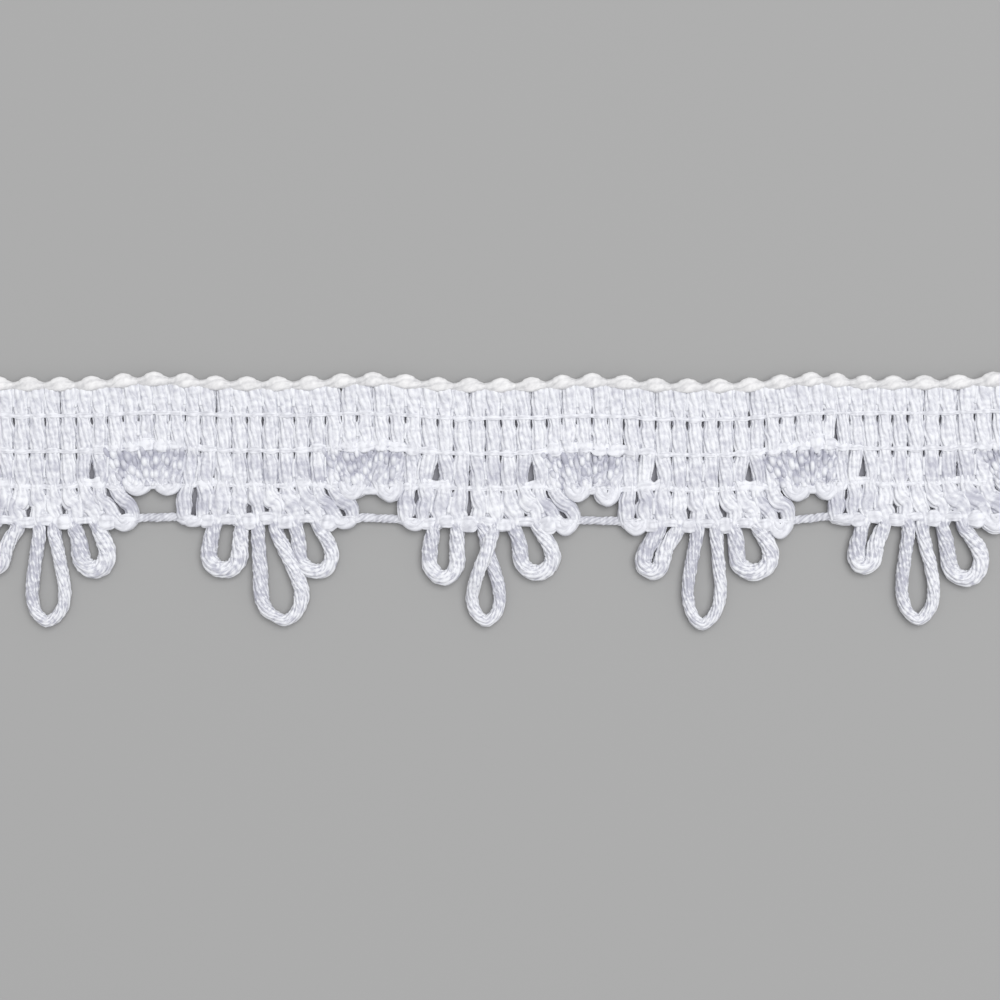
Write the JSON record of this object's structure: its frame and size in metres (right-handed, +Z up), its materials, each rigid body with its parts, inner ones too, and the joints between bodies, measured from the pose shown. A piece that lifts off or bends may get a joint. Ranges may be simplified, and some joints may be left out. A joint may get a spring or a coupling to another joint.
{
  "type": "knitted lace trim",
  "caption": "Cut length of white knitted lace trim lying flat, with a ribbed heading, a plain wavy upper edge, and a scalloped lower edge with picot loops.",
  "frame": {"origin": "on the surface that the trim lies on, under the middle of the trim's box", "axes": "+X along the trim, to the right with its face up and its loops towards the viewer; +Y across it towards the plain edge; +Z up out of its face"},
  "size_m": [0.1092, 0.0258, 0.0027],
  "materials": {
    "yarn": "lustrous soft white knitting yarn, loosely plied, with a cool shade between the strands"
  },
  "bodies": {
    "root": {"lace_trim": "yarn"}
  },
  "joints": []
}
